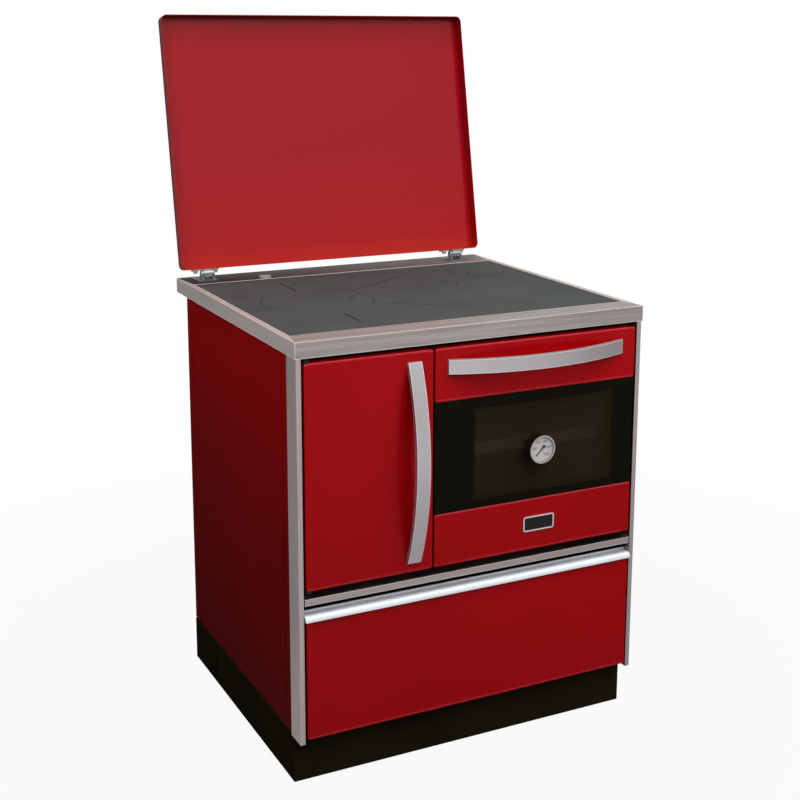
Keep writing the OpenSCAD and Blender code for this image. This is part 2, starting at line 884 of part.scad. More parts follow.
module oven_door_inner_glass() {
    lap = 10;
    color("lightblue")
        difference() {
            slab(window_x0 - lap, window_x1 + lap, liner_back_y, liner_back_y + glass_t,
                window_z0 - lap, window_z1 + lap);
            rod_y(thermo_at[0], liner_back_y - 1, liner_back_y + glass_t + 1, thermo_at[1], probe_r + 1);
        }
}

module oven_door_seal() {
    color("dimgray")
        front_ring(oven_out_x0 - 6, oven_out_x1 + 6, liner_back_y, frame_y, oven_out_z0 - 6,
            oven_out_z1 + 6, 9, 6);
}

module oven_door_bushes() {
    y = oven_axis[0];
    z = oven_axis[1];
    color("goldenrod")
        difference() {
            tray_filling(oven_x0, oven_x1, door_z0, glass_z0);
            slab(arm_x0 - 1, arm_x1 + 1, front_y, door_back_y + 1, door_z0, glass_z0);
            slab(oven_x0, oven_x1, front_y, y - 8, door_z0, glass_z0);
            slab(oven_x0, oven_x1, y + 8, door_back_y + 1, door_z0, glass_z0);
            slab(oven_x0, oven_x1, front_y, door_back_y + 1, door_z0 + bush_h, glass_z0);
            rod_x(oven_x0 - 1, oven_x1 + 1, y, z, door_pin_r + run_gap);
        }
}

module oven_door_handle() {
    color("lightgray")
        translate([(oven_x0 + oven_x1) / 2 - oven_handle_left, 0, door_z1 - oven_handle_in])
            rotate([0, 90, 0])
                bowed_bar(handle_len);
}

module thermometer_case() {
    x = thermo_at[0];
    z = thermo_at[1];
    y1 = thermo_y0 - thermo_len;
    color("dimgray")
        difference() {
            union() {
                rod_y(x, y1, thermo_y0, z, thermo_r);
                rod_y(x, y1 - bezel_len + 2, y1 + 2, z, bezel_r);
            }
            rod_y(x, y1 - bezel_len + 1, y1 - 2, z, dial_r);
            rod_y(x, thermo_y0 - 6, thermo_y0 + 1, z, probe_r + 0.5);
        }
}

// Dial with the stub that carries the needle
module thermometer_dial() {
    y1 = thermo_y0 - thermo_len;
    color("white") {
        rod_y(thermo_at[0], y1 - 3.5, y1 - 2, thermo_at[1], dial_r - fit_gap);
        rod_y(thermo_at[0], y1 - 5.2, y1 - 3.5, thermo_at[1], 1);
    }
}

// Needle with a round tail that balances the pointer
module thermometer_needle() {
    y1 = thermo_y0 - thermo_len;
    pointer = 17;
    color("black")
        translate([thermo_at[0], y1 - 4, thermo_at[1]])
            rotate([90, 0, 0])
                rotate([0, 0, needle_angle])
                    linear_extrude(1)
                        difference() {
                            union() {
                                circle(r = 2.6);
                                translate([0, -0.8])
                                    square([pointer, 1.6]);
                                translate([-6.2, 0])
                                    circle(r = 3.4);
                                translate([-6.2, -0.8])
                                    square([6.2, 1.6]);
                            }
                            circle(r = 1.05);
                        }
}

module thermometer_lens() {
    y1 = thermo_y0 - thermo_len;
    color("lightblue")
        rod_y(thermo_at[0], y1 - 8, y1 - 6.5, thermo_at[1], dial_r - fit_gap);
}

module thermometer_probe() {
    color("silver")
        rod_y(thermo_at[0], thermo_y0 - 6, liner_back_y + 30, thermo_at[1], probe_r);
}

// Rounded plate on the oven door, in the badge's place
module badge_slab(y0, y1, inset) {
    x = badge_c[0];
    z = badge_c[1];
    front_slab(x - badge_w / 2 + inset, x + badge_w / 2 - inset, y0, y1,
        z - badge_h / 2 + inset, z + badge_h / 2 - inset, badge_r - inset);
}

module badge_frame() {
    color("silver")
        difference() {
            badge_slab(front_y - badge_t, front_y, 0);
            badge_slab(front_y - badge_t - 1, front_y + 1, badge_rim);
        }
}

// Blank filling of the badge's frame
module badge_plate() {
    color("black")
        badge_slab(front_y - badge_t + 0.5, front_y, badge_rim);
}

module drawer_front() {
    color("firebrick")
        front_tray(-drawer_x, drawer_x, front_y, door_back_y, drawer_z0, drawer_z1, door_corner_r,
            sheet);
}

// Finger pull on the drawer's top edge: a rounded nose, a flat top and a ridge along the back
module drawer_pull() {
    nose_r = 11.5;
    ridge_t = 3.5;
    nose_y = front_y - pull_out + nose_r;
    top_z = drawer_z1 + nose_r;
    color("lightgray") {
        intersection() {
            rod_x(-pull_x, pull_x, nose_y, drawer_z1, nose_r);
            slab(-half_w, half_w, front_y - pull_out - 1, nose_y, drawer_z1, top_z + 1);
        }
        slab(-pull_x, pull_x, nose_y, door_back_y, drawer_z1, top_z);
        slab(-pull_x, pull_x, door_back_y - ridge_t, door_back_y, top_z, drawer_z1 + pull_h);
    }
}

module drawer_box() {
    color("gray")
        difference() {
            slab(-drawer_box_x, drawer_box_x, drawer_box_y0, drawer_back_y, drawer_box_z0, drawer_box_z1);
            slab(-drawer_box_x + sheet, drawer_box_x - sheet, drawer_box_y0 + sheet,
                drawer_back_y - sheet, drawer_box_z0 + sheet, drawer_box_z1 + 1);
        }
}

module drawer_runners() {
    color("silver")
        both_sides()
            slab(drawer_box_x, drawer_box_x + runner_t, frame_y + 5, drawer_back_y, runner_z0,
                runner_z0 + runner_h);
}

// Channels on the side panels in which the drawer's runners slide
module cabinet_runners() {
    flange = 3.5;
    color("gray")
        both_sides()
            difference() {
                slab(drawer_box_x + 3, cab_in_x, frame_back_y + 2, drawer_back_y + 25,
                    runner_z0 - slide_gap - flange, runner_z0 + runner_h + slide_gap + flange);
                slab(drawer_box_x + 2, cab_in_x - flange, frame_back_y + 1, drawer_back_y + 26,
                    runner_z0 - slide_gap, runner_z0 + runner_h + slide_gap);
            }
}

// Flat slotted knob in the rear strip, with the spindle that reaches down to the flap
module damper_knob() {
    knob_r = 13;
    knob_h = 4.5;
    slot_w = 3;
    slot_deep = 1.5;
    color("silver")
        difference() {
            union() {
                rod_z(damper_at[0], damper_at[1], body_h + 0.3, body_h + knob_h, knob_r);
                rod_z(damper_at[0], damper_at[1], oven_out_z1 - 60, body_h + 1, damper_r);
            }
            translate([damper_at[0], damper_at[1], body_h + knob_h - slot_deep])
                slab(-knob_r + 4, knob_r - 4, -slot_w / 2, slot_w / 2, 0, slot_deep + 1);
        }
}

module damper_flap() {
    color("dimgray")
        difference() {
            union() {
                slab(damper_at[0], damper_at[0] + damper_flap_w, damper_at[1] - 1, damper_at[1] + 1,
                    oven_out_z1 - 55, oven_out_z1 + 20);
                rod_z(damper_at[0], damper_at[1], oven_out_z1 - 55, oven_out_z1 + 20, damper_r + 3);
            }
            rod_z(damper_at[0], damper_at[1], oven_out_z1 - 56, oven_out_z1 + 21, damper_r + fit_gap);
        }
}

plinth_front_section();
plinth_rear_section();
base_plate();
side_panel_left();
side_panel_right();
back_panel();
corner_post_left();
corner_post_right();
cross_rail();
front_frame();
middle_shelf();
inner_casing();
firebox_base();
firebrick_left();
firebrick_right();
firebrick_rear();
fire_grate();
ash_pan();
oven_box();
oven_side_racks();
oven_baking_tray();
flue_spigot();
top_frame();
hob_plate();
hob_ring_cover();
flue_outlet_cover();
lid_hinge_bases();
lid_hinge_pins();
lid_hinge_leaves();
lid_tray();
lid_hinge_screws();
fire_door_hinge_brackets();
fire_door_panel();
fire_door_liner();
fire_door_seal();
fire_door_bushes();
fire_door_handle();
oven_door_hinge_arms();
oven_door_top_panel();
oven_door_bottom_panel();
oven_door_glass();
oven_door_frame();
oven_door_inner_glass();
oven_door_seal();
oven_door_bushes();
oven_door_handle();
thermometer_case();
thermometer_dial();
thermometer_needle();
thermometer_lens();
thermometer_probe();
badge_frame();
badge_plate();
drawer_front();
drawer_pull();
drawer_box();
drawer_runners();
cabinet_runners();
damper_knob();
damper_flap();
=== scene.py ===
"""Dresses the range cooker's frame: materials, edges, dial marks, camera and studio light.

Lengths are in metres in the frame of the CAD nodes: X to the right, Y to the back, Z up.
"""

import json
import math

import bpy
from mathutils import Matrix, Vector


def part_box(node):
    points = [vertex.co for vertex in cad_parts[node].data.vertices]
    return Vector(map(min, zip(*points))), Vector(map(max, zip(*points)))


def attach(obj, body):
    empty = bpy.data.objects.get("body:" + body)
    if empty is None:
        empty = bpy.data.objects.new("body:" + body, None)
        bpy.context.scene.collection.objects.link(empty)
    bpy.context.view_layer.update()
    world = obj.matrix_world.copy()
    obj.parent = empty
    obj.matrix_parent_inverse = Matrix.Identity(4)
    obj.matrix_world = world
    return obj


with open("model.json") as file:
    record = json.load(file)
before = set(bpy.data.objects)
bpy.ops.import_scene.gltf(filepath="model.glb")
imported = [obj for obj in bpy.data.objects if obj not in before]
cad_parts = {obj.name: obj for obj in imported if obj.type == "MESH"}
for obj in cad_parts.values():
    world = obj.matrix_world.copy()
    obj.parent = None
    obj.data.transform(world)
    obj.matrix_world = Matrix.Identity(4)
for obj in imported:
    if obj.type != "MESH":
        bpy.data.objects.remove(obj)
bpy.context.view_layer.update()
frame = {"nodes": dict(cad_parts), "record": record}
nodes = frame["nodes"]

# Camera: focal length and middle in pixels of the 800 pixel frame, then its place and its turn
IMAGE_PX = 800
FOCAL_PX = 1375.2
CENTRE_PX = (419.0, 300.0)
SENSOR_WIDTH_MM = 36.0
CAMERA_AT = Vector((-1.2203, -2.4904, 1.3901))
YAW = math.radians(-26.963)
PITCH = math.radians(11.382)
ROLL = math.radians(0.255)

# The middle part of a noise's values, which holds nearly all of them
NOISE_LOW = 0.3
NOISE_HIGH = 0.7

# Edges: the radius of each bevel, how far from an edge its painted highlight reaches, the normals'
# agreement from which a metal's painted highlight starts and at which it is full, and likewise the
# enamel's upward lean
ENAMEL_ROUND = 0.0022
HANDLE_ROUND = 0.0013
FRAME_ROUND = 0.0010
PULL_ROUND = 0.0009
METAL_EDGE_REACH = 0.0022
ENAMEL_EDGE_REACH = 0.0055
EDGE_SAMPLES = 8
EDGE_HIGHLIGHT_START = 0.99
EDGE_HIGHLIGHT_FULL = 0.90
EDGE_METAL_LOSS = 0.6
UPWARD_HIGHLIGHT_START = 0.06
UPWARD_HIGHLIGHT_FULL = 0.55

# Enamel grain, and the lid's colours from the hinge, 0, to the far edge, 1, as painted reflection and
# shade
ENAMEL_GRAIN = 420
ENAMEL_BUMP = 0.04
ENAMEL_DEPTH = 0.0003
LID_PAINTED_LIGHT_COLOURS = ((0.0, "A81A0C"), (0.08, "9E0D10"), (0.45, "930617"), (0.85, "920613"), (1.0, "800410"))
LID_WANDER = 0.08
LID_ROUGH = (0.28, 0.34)
LID_COAT = 0.44
LID_COAT_ROUGH = 0.16

# Side panels: shares of a painted dark shade at heights from 0 to 1. Plinth: half its seam's dark line
SIDE_PAINTED_SHADE = ((0.0, 0.55), (0.28, 0.40), (0.56, 0.29), (0.89, 0.0))
SEAM_REACH = 0.0016

# Hob and the frame round it: depth below which the hob is blackened, and the rear strip's painted dark
# reflection along X
BLACKENED_DEPTH = 0.0003
REAR_REFLECTION_X = (-0.30, 0.34)
REAR_REFLECTION_SHARE = (0.96, 0.25)
REAR_PAINTED_REFLECTION = "1E1816"
TOP_METAL = 0.75

# Oven glass: its film's share of the colour seen, and the printed border round the inner pane
FILM_ALPHA = 0.50
BORDER_BLACK = "0F0D04"
BORDER_FADE = 0.004
GLASS_LAP = 0.010

# Printed scale of the thermometer
SCALE_START = math.radians(225)
SCALE_SWEEP = math.radians(270)
SCALE_STEPS = 20
SCALE_NUMBERS = ("0", "100", "200", "300", "400", "500")
LONG_TICK_EVERY = 4
TICK_OUT = 0.0228
TICK_SHORT = 0.0018
TICK_LONG = 0.0034
TICK_WIDTH = 0.00045
STROKE_WIDTH = TICK_WIDTH * 1.2
NUMBER_AT = 0.0158
NUMBER_HIGH = 0.0042
DIGIT_PITCH = 0.8 * NUMBER_HIGH
DIGIT_GAP = 0.25
PRINT_THICK = 0.00015
STUB_LENGTH = 0.0017

# Floor: the share of its lit colour that it keeps near the cooker, and how white mirrors see it
FLOOR_HALF = 12.0
FLOOR_ROUGH = 0.9
SHADOW_SHARE = 0.06
SHADOW_NEAR = 0.7
SHADOW_FAR = 2.2
FLOOR_MIRROR = 0.26
FLOOR_MIRROR_RIGHT = -0.30
FLOOR_MIRROR_FRONT = 0.42
FLOOR_MIRROR_LEAST = 0.26
FLOOR_MIRROR_MOST = 1.0

# Room: its light on the cooker, and how white mirrors see it
ROOM_LEVEL = 0.15
ROOM_UP = 0.28
ROOM_RIGHT = 0.18
ROOM_LEAST = 0.05
MIRROR_LEVEL = 0.50
MIRROR_UP = 0.50
MIRROR_RIGHT = -0.20
MIRROR_FRONT = 0.25

# Lamps: name, place, target, side of the square and watts, and whether mirrors see it
LAMPS = (
    ("key", (0.5, -1.75, 2.2), (0, -0.34, 0.5), 2.2, 47, False),
    ("side", (-1.5, -0.5, 2.0), (-0.36, 0, 0.5), 1.0, 14, False),
    ("top", (0.4, -0.9, 3.6), (0, 0, 0.8), 3.0, 45, True),
)


def srgb(code):
    """Linear colour of a hexadecimal screen colour."""
    shares = [int(code[i:i + 2], 16) / 255 for i in (0, 2, 4)]
    linear = [c / 12.92 if c <= 0.04045 else ((c + 0.055) / 1.055) ** 2.4 for c in shares]
    return (*linear, 1.0)


# Nodes that materials share
def new_material(name):
    made = bpy.data.materials.new(name)
    made.use_nodes = True
    tree = made.node_tree
    return made, tree, tree.nodes["Principled BSDF"]


def math_node(tree, operation, one, other=0.0):
    """A Math node whose inputs are sockets or numbers."""
    made = tree.nodes.new("ShaderNodeMath")
    made.operation = operation
    for slot, value in enumerate((one, other)):
        if isinstance(value, (int, float)):
            made.inputs[slot].default_value = value
        else:
            tree.links.new(value, made.inputs[slot])
    return made.outputs["Value"]


def vector_math(tree, operation, one, other):
    made = tree.nodes.new("ShaderNodeVectorMath")
    made.operation = operation
    tree.links.new(one, made.inputs[0])
    tree.links.new(other, made.inputs[1])
    return made.outputs


def map_range(tree, value, start, end, low=0.0, high=1.0):
    """Takes start to low and end to high, and holds those beyond them."""
    remap = tree.nodes.new("ShaderNodeMapRange")
    remap.inputs["From Min"].default_value = start
    remap.inputs["From Max"].default_value = end
    remap.inputs["To Min"].default_value = low
    remap.inputs["To Max"].default_value = high
    tree.links.new(value, remap.inputs["Value"])
    return remap.outputs["Result"]


def between(tree, value, least, most):
    return math_node(tree, "MINIMUM", math_node(tree, "MAXIMUM", value, least), most)


def split_axes(tree, vector):
    """The X, Y and Z of a vector socket."""
    split = tree.nodes.new("ShaderNodeSeparateXYZ")
    tree.links.new(vector, split.inputs["Vector"])
    return split.outputs


def object_place(tree):
    """A point's place in the object's own metres."""
    return tree.nodes.new("ShaderNodeTexCoord").outputs["Object"]


def gradient(tree, axes, level, **slopes):
    """A level plus a slope along each axis that is named."""
    rises = [math_node(tree, "MULTIPLY", axes[axis], slope) for axis, slope in slopes.items()]
    total = rises[0]
    for rise in rises[1:]:
        total = math_node(tree, "ADD", total, rise)
    return math_node(tree, "ADD", total, level)


def ray_kinds(tree):
    """Whether the camera or glass sees the surface, and whether a mirror does."""
    path = tree.nodes.new("ShaderNodeLightPath")
    direct = math_node(tree, "MAXIMUM", path.outputs["Is Camera Ray"],
                       path.outputs["Is Transmission Ray"])
    return direct, path.outputs["Is Glossy Ray"]


def add_noise(tree, scale, stretch=(1, 1, 1), detail=4.0, rough=0.5):
    """Noise in the object's own metres, stretched along the axes."""
    mapping = tree.nodes.new("ShaderNodeMapping")
    mapping.inputs["Scale"].default_value = stretch
    noise = tree.nodes.new("ShaderNodeTexNoise")
    noise.inputs["Scale"].default_value = scale
    noise.inputs["Detail"].default_value = detail
    noise.inputs["Roughness"].default_value = rough
    tree.links.new(object_place(tree), mapping.inputs["Vector"])
    tree.links.new(mapping.outputs["Vector"], noise.inputs["Vector"])
    return noise.outputs["Fac"]


def add_ramp(tree, value, stops):
    ramp = tree.nodes.new("ShaderNodeValToRGB")
    ramp.color_ramp.elements[0].position = stops[0][0]
    ramp.color_ramp.elements[0].color = stops[0][1]
    ramp.color_ramp.elements[1].position = stops[-1][0]
    ramp.color_ramp.elements[1].color = stops[-1][1]
    for at, colour in stops[1:-1]:
        ramp.color_ramp.elements.new(at).color = colour
    tree.links.new(value, ramp.inputs["Fac"])
    return ramp.outputs["Color"]


def two_tones(tree, noise, low, high):
    """A colour that wanders between two with a noise."""
    return add_ramp(tree, noise, [(NOISE_LOW, srgb(low)), (NOISE_HIGH, srgb(high))])


def mix_colours(tree, amount, one, other):
    """Mixes two colours, or a socket and a colour, by an amount from 0 to 1."""
    mix = tree.nodes.new("ShaderNodeMix")
    mix.data_type = "RGBA"
    tree.links.new(amount, mix.inputs["Factor"])
    for slot, value in (("A", one), ("B", other)):
        socket = next(i for i in mix.inputs if i.name == slot and i.type == "RGBA")
        if isinstance(value, tuple):
            socket.default_value = value
        else:
            tree.links.new(value, socket)
    return next(o for o in mix.outputs if o.type == "RGBA")


def mix_shaders(tree, amount, one, other):
    mix = tree.nodes.new("ShaderNodeMixShader")
    tree.links.new(amount, mix.inputs["Fac"])
    tree.links.new(one, mix.inputs[1])
    tree.links.new(other, mix.inputs[2])
    return mix.outputs["Shader"]


def tint(made, amount, code):
    """Mixes a colour over a material's own, by an amount from 0 to 1."""
    tree = made.node_tree
    shader = tree.nodes["Principled BSDF"]
    base = shader.inputs["Base Color"].links[0].from_socket
    tree.links.new(mix_colours(tree, amount, base, srgb(code)), shader.inputs["Base Color"])


def add_grain(tree, shader, fine, rough, bump, depth):
    """Lets a fine noise vary the roughness and raise a bump."""
    tree.links.new(map_range(tree, fine, NOISE_LOW, NOISE_HIGH, *rough), shader.inputs["Roughness"])
    grain = tree.nodes.new("ShaderNodeBump")
    grain.inputs["Strength"].default_value = bump
    grain.inputs["Distance"].default_value = depth
    tree.links.new(fine, grain.inputs["Height"])
    tree.links.new(grain.outputs["Normal"], shader.inputs["Normal"])


def edge_normals(tree, radius):
    """The normal as rounded within a radius of each edge, and the face's own."""
    rounded = tree.nodes.new("ShaderNodeBevel")
    rounded.samples = EDGE_SAMPLES
    rounded.inputs["Radius"].default_value = radius
    own = tree.nodes.new("ShaderNodeNewGeometry")
    return rounded.outputs["Normal"], own.outputs["Normal"]


# Whole materials
def surface(name, low, high, rough, metal=0.0, scale=6.0, stretch=(1, 1, 1), grain=250.0,
            grain_stretch=(1, 1, 1), bump=0.05, depth=0.0004, coat=0.0, specular=0.5, ior=1.5):
    """A material whose colour and roughness vary with noise, with a fine grain in its bump."""
    made, tree, shader = new_material(name)
    broad = add_noise(tree, scale, stretch)
    tree.links.new(two_tones(tree, broad, low, high), shader.inputs["Base Color"])
    fine = add_noise(tree, grain, grain_stretch, detail=2.0)
    add_grain(tree, shader, fine, rough, bump, depth)
    shader.inputs["IOR"].default_value = ior
    shader.inputs["Metallic"].default_value = metal
    shader.inputs["Coat Weight"].default_value = coat
    shader.inputs["Coat Roughness"].default_value = 0.12
    shader.inputs["Specular IOR Level"].default_value = specular
    return made


def lid_finish(name):
    """The lid's enamel: crimson, with painted shade darker at the top and a painted warm reflection
    near the hinge.
    """
    made, tree, shader = new_material(name)
    wander = math_node(tree, "MULTIPLY", add_noise(tree, 2.5), LID_WANDER)
    height = math_node(tree, "ADD", split_axes(tree, object_place(tree))["Z"], wander)
    # Painted light: colour by height, from a warm reflection at the hinge to darker shade at the top
    low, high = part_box("lid_tray")
    share = map_range(tree, height, low[2] + LID_WANDER / 2, high[2] + LID_WANDER / 2)
    stops = [(at, srgb(code)) for at, code in LID_PAINTED_LIGHT_COLOURS]
    tree.links.new(add_ramp(tree, share, stops), shader.inputs["Base Color"])
    fine = add_noise(tree, ENAMEL_GRAIN, detail=2.0)
    add_grain(tree, shader, fine, LID_ROUGH, ENAMEL_BUMP, ENAMEL_DEPTH)
    shader.inputs["Coat Weight"].default_value = LID_COAT
    shader.inputs["Coat Roughness"].default_value = LID_COAT_ROUGH
    shader.inputs["Specular IOR Level"].default_value = 0.0
    return made


def top_finish(name):
    """Brushed frame round the hob: bands brushed along their length, mitred, and darker at the back
    with a painted dark reflection.
    """
    made, tree, shader = new_material(name)
    along = two_tones(tree, add_noise(tree, 4.0, (1, 30, 30)), "928A86", "B2AAA6")
    across = two_tones(tree, add_noise(tree, 4.0, (30, 1, 30)), "BEB4AE", "CEC4BE")
    axes = split_axes(tree, object_place(tree))
    hob_low, hob_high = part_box("hob_plate")
    outer_low, outer_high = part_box("top_frame")
    # How far into the side, front and rear band a point lies, from 0 at the hob to 1 outside
    side = math_node(tree, "SUBTRACT", math_node(tree, "ABSOLUTE", axes["X"]), hob_high[0])
    side = math_node(tree, "DIVIDE", side, outer_high[0] - hob_high[0])
    front = math_node(tree, "SUBTRACT", hob_low[1], axes["Y"])
    front = math_node(tree, "DIVIDE", front, hob_low[1] - outer_low[1])
    rear = math_node(tree, "SUBTRACT", axes["Y"], hob_high[1])
    rear = math_node(tree, "DIVIDE", rear, outer_high[1] - hob_high[1])
    ends = math_node(tree, "MAXIMUM", front, rear)
    at_side = math_node(tree, "GREATER_THAN", side, math_node(tree, "MAXIMUM", ends, 0))
    bands = mix_colours(tree, at_side, along, across)
    # Painted reflection: the rear band darkens, most at the left
    reflection_share = map_range(tree, axes["X"], *REAR_REFLECTION_X, *REAR_REFLECTION_SHARE)
    at_rear = math_node(tree, "GREATER_THAN", rear, math_node(tree, "MAXIMUM", side, 0))
    painted_reflection = math_node(tree, "MULTIPLY", at_rear, reflection_share)
    tree.links.new(mix_colours(tree, painted_reflection, bands, srgb(REAR_PAINTED_REFLECTION)), shader.inputs["Base Color"])
    fine = add_noise(tree, 30.0, (40, 40, 40), detail=2.0)
    add_grain(tree, shader, fine, (0.46, 0.58), 0.04, 0.0002)
    shader.inputs["Metallic"].default_value = TOP_METAL
    return made


def glass(name, low, high, alpha, specular):
    """See-through glass: the film's colour over what lies behind it."""
    made, tree, shader = new_material(name)
    tree.links.new(two_tones(tree, add_noise(tree, 5.0), low, high), shader.inputs["Base Color"])
    fine = add_noise(tree, 90.0)
    tree.links.new(map_range(tree, fine, NOISE_LOW, NOISE_HIGH, 0.02, 0.05), shader.inputs["Roughness"])
    shader.inputs["Alpha"].default_value = alpha
    shader.inputs["Specular IOR Level"].default_value = specular
    return made


# Finishes over a material
def paint_edge_highlights(made, radius, code):
    """Paints bright highlights along a metal's edges, where a rounded normal leaves the face, and makes
    it less metallic there.
    """
    tree = made.node_tree
    shader = tree.nodes["Principled BSDF"]
    match = vector_math(tree, "DOT_PRODUCT", *edge_normals(tree, radius))["Value"]
    edge_highlight = map_range(tree, match, EDGE_HIGHLIGHT_START, EDGE_HIGHLIGHT_FULL)
    tint(made, edge_highlight, code)
    metal = shader.inputs["Metallic"].default_value
    less = math_node(tree, "MULTIPLY", edge_highlight, EDGE_METAL_LOSS)
    tree.links.new(math_node(tree, "SUBTRACT", metal, less), shader.inputs["Metallic"])


def paint_upper_edge_highlights(made, radius, code):
    """Paints a lighter red highlight where an edge rounds over towards the top, where light catches it.
    """
    tree = made.node_tree
    lean = vector_math(tree, "SUBTRACT", *edge_normals(tree, radius))["Vector"]
    tint(made, map_range(tree, split_axes(tree, lean)["Z"], UPWARD_HIGHLIGHT_START, UPWARD_HIGHLIGHT_FULL), code)


def blacken_below(made, height, code):
    """Blackens whatever lies lower than a height, so grooves and holes read dark."""
    tree = made.node_tree
    axes = split_axes(tree, object_place(tree))
    tint(made, math_node(tree, "LESS_THAN", axes["Z"], height), code)


def line_at_depth(made, at, reach, code):
    """Blackens a thin line at a place along Y, where one plinth sheet butts on the next."""
    tree = made.node_tree
    axes = split_axes(tree, object_place(tree))
    off = math_node(tree, "ABSOLUTE", math_node(tree, "SUBTRACT", axes["Y"], at))
    tint(made, math_node(tree, "LESS_THAN", off, reach), code)


def paint_shade_below(made, node, stops, code):
    """Paints shade that deepens a colour towards the floor, by shares at heights given from 0 to 1 of a
    node.
    """
    tree = made.node_tree
    axes = split_axes(tree, object_place(tree))
    low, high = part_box(node)
    height = map_range(tree, axes["Z"], low[2], high[2])
    tint(made, add_ramp(tree, height, [(at, (s, s, s, 1)) for at, s in stops]), code)


def print_border(made, low, high, alpha, code):
    """Makes glass opaque outside a window given in X and Z, as a printed black border does."""
    tree = made.node_tree
    axes = split_axes(tree, object_place(tree))
    outside = []
    for axis, name in ((0, "X"), (2, "Z")):
        middle = (low[axis] + high[axis]) / 2
        off = math_node(tree, "ABSOLUTE", math_node(tree, "SUBTRACT", axes[name], middle))
        outside.append(math_node(tree, "SUBTRACT", off, (high[axis] - low[axis]) / 2))
    furthest = math_node(tree, "MAXIMUM", outside[0], outside[1])
    printed = map_range(tree, furthest, 0.0, BORDER_FADE)
    tint(made, printed, code)
    cover = math_node(tree, "ADD", math_node(tree, "MULTIPLY", printed, 1 - alpha), alpha)
    tree.links.new(cover, tree.nodes["Principled BSDF"].inputs["Alpha"])


BRUSHED_UPRIGHT = {"stretch": (30, 30, 1), "grain": 30, "grain_stretch": (40, 40, 1)}
BRUSHED_LEVEL = {"stretch": (1, 1, 30), "grain": 30, "grain_stretch": (1, 1, 40)}
ENAMEL = {"scale": 3, "grain": ENAMEL_GRAIN, "bump": ENAMEL_BUMP, "depth": ENAMEL_DEPTH}
IRON = {"scale": 7, "grain": 700, "bump": 0.25, "depth": 0.0004, "specular": 0.10}
BRUSHED_METAL = {"metal": 1.0, "scale": 4, "bump": 0.04, "depth": 0.0002}
DRAWN_METAL = {"scale": 6, "grain": 60, "bump": 0.02, "depth": 0.0002}

# Each surface's two colours, its roughness and what else it sets
SURFACES = {
    "red_enamel": ("9C060C", "A4070F", (0.28, 0.34), {**ENAMEL, "coat": 0.12, "specular": 0.0}),
    # The side panels' enamel: the red as a darker, less glossy copy, as painted shade
    "red_enamel_side_shaded": ("960206", "9E0308", (0.30, 0.36), {**ENAMEL, "coat": 0.04, "specular": 0.0}),
    # Bevel faces: a lighter, glossier red as painted highlights on the rounded edges
    "red_enamel_edge_highlight": ("CC3640", "D8424C", (0.20, 0.26),
                        {**ENAMEL, "bump": 0.02, "depth": 0.0002, "coat": 1.0, "ior": 2.0}),
    "stainless": ("A89A9A", "B6A8A8", (0.42, 0.52), {**BRUSHED_METAL, **BRUSHED_LEVEL}),
    "stainless_upright": ("B0A4A2", "BEB2B0", (0.38, 0.48), {**BRUSHED_METAL, **BRUSHED_UPRIGHT}),
    # Bevel faces: lighter, less metallic colours as painted highlights on the metal edges
    "stainless_edge_highlight": ("E6E0DC", "F0EAE6", (0.24, 0.34), {"metal": 0.3, "scale": 30}),
    "aluminium_edge_highlight": ("E4E0E2", "F0ECEE", (0.20, 0.30), {"metal": 0.3, "scale": 30}),
    "plinth_black": ("1F1C11", "262315", (0.55, 0.65), {"scale": 5, "specular": 0.0}),
    "frame_black": ("0B0A08", "11100D", (0.5, 0.65), {"scale": 8, "specular": 0.1}),
    "dark_steel": ("161616", "202020", (0.5, 0.65), {"scale": 8, "specular": 0.2}),
    "back_sheet": ("2B2B2C", "353536", (0.5, 0.65), {"scale": 8, "specular": 0.3}),
    "cast_iron": ("3F4343", "474B4B", (0.62, 0.74), IRON),
    "hob_iron": ("3A3D3D", "424545", (0.62, 0.74), IRON),
    "galvanised": ("7F8284", "969A9C", (0.35, 0.5), {"metal": 1.0, "scale": 40}),
    "oven_enamel": ("55463A", "645344", (0.25, 0.35), {"scale": 6, "specular": 0.3}),
    "tray_enamel": ("8E7A64", "A08A72", (0.3, 0.4), {"scale": 6, "specular": 0.3}),
    "firebrick": ("B59A74", "C9AE88", (0.85, 0.95),
                  {"scale": 25, "grain": 180, "bump": 0.5, "depth": 0.001}),
    "rope_seal": ("2A2826", "3A3734", (0.9, 1.0),
                  {"scale": 60, "grain": 500, "bump": 0.8, "depth": 0.001}),
    "rack_chrome": ("B8B8B8", "C6C6C6", (0.12, 0.2), {"metal": 1.0}),
    "hinge_steel": ("8E9494", "A4AAAA", (0.22, 0.32), {"metal": 1.0, "scale": 30}),
    "bush_brass": ("A8843C", "BA9550", (0.25, 0.4), {"metal": 1.0, "scale": 20}),
    "handle_aluminium": ("BCB7BA", "C6C1C4", (0.46, 0.54),
                         {**DRAWN_METAL, "metal": 1.0, "grain_stretch": (30, 1, 1)}),
    "pull_aluminium": ("DCE0E6", "E6EAF0", (0.46, 0.54),
                       {**DRAWN_METAL, "metal": 0.6, "grain_stretch": (1, 30, 30)}),
    "case_chrome": ("A6A6A8", "B4B4B6", (0.10, 0.18), {"metal": 1.0, "scale": 20}),
    "trim_bright": ("D2CCCC", "DED8D8", (0.25, 0.35), {"metal": 0.7, "scale": 20}),
    "dial_white": ("C9C4C2", "D4CFCC", (0.4, 0.5), {"scale": 30}),
    "needle_black": ("101010", "181818", (0.4, 0.5), {}),
    "badge_black": ("0E0F12", "141518", (0.2, 0.3), {"specular": 0.2}),
}
MATERIALS = {name: surface(name, low, high, rough, **more)
             for name, (low, high, rough, more) in SURFACES.items()}
MATERIALS["red_enamel_lid"] = lid_finish("red_enamel_lid")
MATERIALS["stainless_top"] = top_finish("stainless_top")
